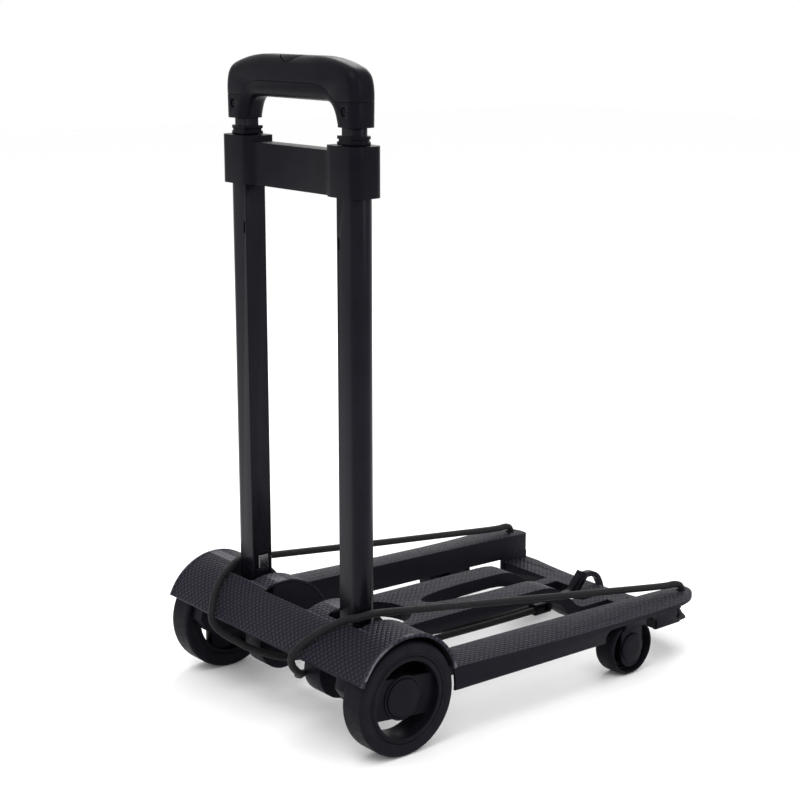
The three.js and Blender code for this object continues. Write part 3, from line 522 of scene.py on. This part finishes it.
def swept_tube(name, route, radius_at, sides):
    """A tube along a route; radius_at(turn, distance) gives its radius in metres."""
    bm = bmesh.new()
    tangent = (route[1] - route[0]).normalized()
    side = tangent.orthogonal().normalized()
    rings, distance = [], 0.0
    for i, point in enumerate(route):
        ahead = route[min(i + 1, len(route) - 1)] - route[max(i - 1, 0)]
        tangent = ahead.normalized()
        side = (side - tangent * side.dot(tangent)).normalized()
        other = tangent.cross(side)
        if i:
            distance += (point - route[i - 1]).length
        ring = []
        for k in range(sides):
            turn = 2 * math.pi * k / sides
            ring.append(bm.verts.new(
                point + (side * math.cos(turn) + other * math.sin(turn)) * radius_at(turn, distance)))
        rings.append(ring)
    for one, two in zip(rings, rings[1:]):
        for k in range(sides):
            j = (k + 1) % sides
            bm.faces.new([one[k], one[j], two[j], two[k]])
    bm.faces.new(list(reversed(rings[0])))
    bm.faces.new(rings[-1])
    piece = object_from(name, bm)
    shade(piece, 80)
    return piece


def braided(turn, distance):
    """The radius of a braided cover: crossing ribs with a pitch of 7 mm."""
    lay = 2 * math.pi * distance / 0.007
    relief = math.sin(4 * turn + lay * 2) * math.sin(4 * turn - lay * 2)
    return (CORD_RADIUS - 0.1 + 0.1 * relief) * MM


def knot(side_name):
    """An overhand knot, a trefoil of cord pulled tight under the rail."""
    side = SIDES[side_name]
    middle, spread = (side * 117, 350.5, 43.3), 1.15
    route = []
    for i in range(91):
        t = 2 * math.pi * i / 90 * 0.97
        route.append(at(
            middle[0] + spread * (math.sin(t) + 2 * math.sin(2 * t)),
            middle[1] + spread * (math.cos(t) - 2 * math.cos(2 * t)),
            middle[2] - 2 * spread * math.sin(3 * t),
        ))
    name = f"bungee_knot_{side_name}"
    return place(swept_tube(f"{name}_fine", route, lambda turn, distance: 0.0019, 16), "cord", name)


def make_cords():
    ferrule = refined("bungee_ferrule", "satin", 0.5)
    hook = refined("bungee_hook", "satin", 0.9, 3)
    for side_name, points in CORD_ROUTES.items():
        route = smooth_route([at(*point) for point in points])
        name = f"bungee_{side_name}"
        cord = place(swept_tube(f"{name}_cord", route, braided, 24), "cord", name)
        knot(side_name)


# ---- Wheels ----
REAR = {"x": 113.6, "width": 25, "radius": 48.2, "bead": 36.8, "z": 44.2}
FRONT = {"x": 112.6, "width": 22.2, "radius": 26.3, "y": 266, "z": 22.3, "core": 20.6}


def rear_wheel(side_name):
    side = SIDES[side_name]
    x, width, radius, bead = REAR["x"], REAR["width"], REAR["radius"], REAR["bead"]
    shoulder = 3.2
    tyre = [(x + 0.3, bead), (x, bead + 0.5)]
    tyre += [(x + 2.6 - 2.6 * math.cos(math.radians(a)), radius - 2.9 + 2.9 * math.sin(math.radians(a)))
             for a in range(0, 91, 15)]
    tyre += [(x + width * k / 8, radius) for k in range(2, 7)]
    tyre += [(x + width - shoulder + shoulder * math.sin(math.radians(a)),
              radius - shoulder + shoulder * math.cos(math.radians(a))) for a in range(0, 91, 10)]
    groove = [(x + width - 0.05, 42.4), (x + width - 0.15, 39.8), (x + width - 0.5, 39.2),
              (x + width - 0.15, 38.6)]
    tyre += groove
    tyre += [(x + width - 0.1, bead + 0.9), (x + width - 0.35, bead + 0.3), (x + width - 0.9, bead)]
    name = f"rear_tyre_{side_name}"
    place(lathe(f"{name}_fine", tyre, 0, REAR["z"], side, 144), "tyre", name)
    refined(f"rear_rim_{side_name}", "satin", 0.45)
    cap_x = x + 17.5
    cap = [(cap_x, 0), (cap_x, 16.2), (cap_x + 0.3, 16.5)]
    cap += [(cap_x + 1.2 + 1.0 * math.sin(math.radians(a)), 15.5 + 1.0 * math.cos(math.radians(a)))
            for a in range(0, 91, 15)]
    cap += [(cap_x + 2.25, 8), (cap_x + 2.3, 0)]
    name = f"hub_cap_{side_name}"
    place(lathe(f"{name}_fine", cap, 0, REAR["z"], side), "satin", name)


def front_wheel(side_name):
    side = SIDES[side_name]
    x, width, radius, core = FRONT["x"], FRONT["width"], FRONT["radius"], FRONT["core"]
    y, z = FRONT["y"], FRONT["z"]
    outline = [
        (x, core), (x, radius - 2.4), (x + 1, radius - 0.8), (x + 3, radius), (x + width - 5, radius),
        (x + width - 2.2, radius - 0.4), (x + width - 0.5, radius - 1.4), (x + width, radius - 2.4),
        (x + width - 0.2, radius - 3), (x + 14, radius - 3.6), (x + 14, core),
    ]
    name = f"front_tyre_{side_name}"
    place(lathe(f"{name}_fine", rounded_polygon(outline, 1.2), y, z, side, 96), "tyre", name)
    name = f"front_hub_{side_name}"
    refined(name, "satin", 0.4)
    cap_x = 133.8
    cap = [(cap_x, 0), (cap_x, 12.7), (cap_x + 0.2, 12.9), (cap_x + 0.8, 12.9), (cap_x + 1.25, 12.6),
           (cap_x + 1.5, 12.1), (cap_x + 1.65, 6), (cap_x + 1.7, 0)]
    name = f"front_axle_cap_{side_name}"
    place(lathe(f"{name}_fine", cap, y, z, side, 96), "satin", name)


# ---- Platform ----
def fender():
    """The arched cover over both rear wheels, with its recess and the two slots for the tubes."""
    inner, outer, half, centre = FENDER["inner"], FENDER["outer"], FENDER["half_width"], FENDER["centre"]

    def sector(low, high):
        start, stop = 90 - FENDER["rear"], 90 - FENDER["front"]
        return arc(0, centre, high, start, stop, 90) + arc(0, centre, low, stop, start, 90)

    cover = prism("fender_cover_fine", sector(inner, outer), -half, half, "x")
    for side in SIDES.values():
        low, high = sorted((side * (half - 2.6), side * half))
        boolean(cover, prism("rim", sector(inner, outer + 0.4), low, high, "x"), "UNION")
    boolean(cover, prism("recess", rectangle(-32, 32, -21, 90, 2.5), 40, 120, "z"), "DIFFERENCE")
    for side in SIDES.values():
        low, high = sorted((side * 54, side * 98))
        boolean(cover, prism("slot", rectangle(low, high, -17.5, 90, 4), 40, 120, "z"), "DIFFERENCE")
    tidy_faces(cover)
    soften(cover, 0.55, 3)
    place(cover, "fender", "fender_cover")


# ---- Handle ----
TUBE_X = 75.1


def handle_tubes(side_name):
    refined(f"outer_tube_{side_name}", "tube", 0.3)
    refined(f"middle_tube_{side_name}", "tube", 0.3)
    refined(f"inner_tube_{side_name}", "tube", 0.3)
    refined(f"tube_foot_{side_name}", "satin", 0.5)
    refined(f"fold_latch_{side_name}", "steel", 0.8, 3)
    refined(f"collar_{side_name}", "satin", 0.35)


GRIP = {"bottom": 495.2, "half_depth": 12, "underside": 513.8, "top": 548.3, "edge": 8.2}
PARTING = {"leg": 514.8, "middle": 527.5, "gap": 0.35}
SCREW_Z = 507.3


def grip_solid(name):
    """The grip with broad rounded edges; its legs run on below their ends until they are cut off."""
    low = GRIP["bottom"] - 20
    underside, top = GRIP["underside"], GRIP["top"]
    right = [(46, underside)]
    right += bezier((46, underside), (57, underside), (60, 504), (62, 496.7))
    right += [(62, low), (88, low), (88, 496.7), (88.4, 514.8)]
    right += bezier((88.4, 514.8), (89, 531), (85.5, 539), (75, 541.8))
    right += bezier((75, 541.8), (64, 545.5), (50, 548.1), (36, top))
    outline = right + [(-x, z) for x, z in reversed(right)]
    curve = bpy.data.curves.new(name, "CURVE")
    curve.dimensions = "2D"
    curve.fill_mode = "BOTH"
    curve.extrude = (GRIP["half_depth"] - GRIP["edge"]) * MM
    curve.bevel_depth = GRIP["edge"] * MM
    curve.bevel_resolution = 7
    curve.offset = -GRIP["edge"] * MM
    spline = curve.splines.new("POLY")
    spline.points.add(len(outline) - 1)
    spline.use_cyclic_u = True
    for point, (x, z) in zip(spline.points, outline):
        point.co = (x * MM, z * MM, 0, 1)
    flat = new_object(f"{name}_curve", curve)
    graph = bpy.context.evaluated_depsgraph_get()
    mesh = bpy.data.meshes.new_from_object(flat.evaluated_get(graph))
    bpy.data.objects.remove(flat)
    bm = bmesh.new()
    bm.from_mesh(mesh)
    for vertex in bm.verts:
        vertex.co = Vector((vertex.co.x, AXLE.y - vertex.co.z, vertex.co.y + LIFT * MM))
    bmesh.ops.remove_doubles(bm, verts=bm.verts, dist=1e-5)
    piece = object_from(name, bm)
    room = prism("room", rectangle(-120, 120, -40, 40), GRIP["bottom"], 600, "z")
    return boolean(piece, room, "INTERSECT")


def parting(name, offset):
    """The block below the line where the grip's two shells meet."""
    leg, middle = PARTING["leg"] - offset, PARTING["middle"] - offset
    right = [(34, middle)] + bezier((34, middle), (57, middle), (57, leg + 1.2), (64, leg)) + [(100, leg)]
    outline = [(-x, z) for x, z in right] + [(-100, 480), (100, 480)] + list(reversed(right))
    return prism(name, outline, -20, 20, "y")


def button_column(name, clearance, low):
    half_width, front, depth = 19, -2, 9.3
    radius = (half_width**2 + depth**2) / (2 * depth)
    centre = front - depth + radius
    angle = math.degrees(math.asin((front + clearance - centre) / (radius + clearance)))
    outline = arc(0, centre, radius + clearance, 180 - angle, 360 + angle, 48)
    return prism(name, outline, low, 560, "z")


def grip():
    upper = boolean(grip_solid("grip_upper_shell_fine"), parting("below", 0), "DIFFERENCE")
    gap = PARTING["gap"]
    boolean(upper, button_column("column", gap, 529.1), "DIFFERENCE")
    lower = boolean(grip_solid("grip_lower_shell_fine"), parting("below", gap), "INTERSECT")
    boolean(lower, button_column("column", gap, 529.1), "DIFFERENCE")
    for side in SIDES.values():
        hole = round_prism("hole", side * TUBE_X, SCREW_Z, 3.7, -14, -9.4, "y")
        boolean(lower, hole, "DIFFERENCE")
        socket = prism("socket", rectangle(side * TUBE_X - 10.25, side * TUBE_X + 10.25, -7.1, 7.1, 2.2),
                       490, 512.5, "z")
        boolean(lower, socket, "DIFFERENCE")
    button = boolean(grip_solid("release_button_fine"), button_column("column", -0.4, 532.6), "INTERSECT")
    for piece, width, node in (
        (upper, 0.35, "grip_upper_shell"), (lower, 0.35, "grip_lower_shell"), (button, 0.5, "release_button"),
    ):
        tidy_faces(piece)
        soften(piece, width, 2, 40)
        place(piece, "satin", node)
    for side_name, side in SIDES.items():
        screw(side_name, side)


def screw(side_name, side):
    """A domed screw head with a cross recess."""
    x, z, rear = side * TUBE_X, SCREW_Z, -GRIP["half_depth"]
    bm = bmesh.new()
    profile = [
        (0.0, 0.5), (1.6, 0.56), (2.6, 0.8), (3.1, 1.15), (3.3, 1.6),
        (3.3, 2.3), (1.4, 2.3), (1.4, 4.9), (0.0, 4.9),
    ]
    segments = 48
    rings = []
    for radius, depth in profile:
        turns = [2 * math.pi * i / segments for i in range(segments)] if radius else [0]
        rings.append([
            bm.verts.new(at(x + radius * math.cos(a), rear + depth, z + radius * math.sin(a))) for a in turns
        ])
    for one, two in zip(rings, rings[1:]):
        for i in range(segments):
            j = (i + 1) % segments
            corners = [one[i % len(one)], one[j % len(one)], two[j % len(two)], two[i % len(two)]]
            unique = list(dict.fromkeys(corners))
            if len(unique) > 2:
                bm.faces.new(unique)
    piece = object_from(f"grip_screw_{side_name}_fine", bm)
    for wide, high in ((2.1, 0.4), (0.4, 2.1)):
        slot = prism("slot", rectangle(x - wide, x + wide, z - high, z + high), rear - 1, rear + 1.4, "y")
        boolean(piece, slot, "DIFFERENCE")
    soften(piece, 0.1, 1)
    place(piece, "tube", f"grip_screw_{side_name}")


# ---- Carried-over CAD nodes ----
def carried_over():
    """The hidden steel pieces keep their CAD shape."""
    for name, node in frame["nodes"].items():
        if node.hide_render:
            continue
        node.data.materials.clear()
        node.data.materials.append(MATERIALS["steel"])


make_camera()
make_cords()
make_studio()
fender()
refined("base_frame", "platform", 0.5)
refined("bridge", "satin", 0.8, 3)
for side in SIDES:
    rear_wheel(side)
    front_wheel(side)
    handle_tubes(side)
grip()
carried_over()

bpy.context.view_layer.update()
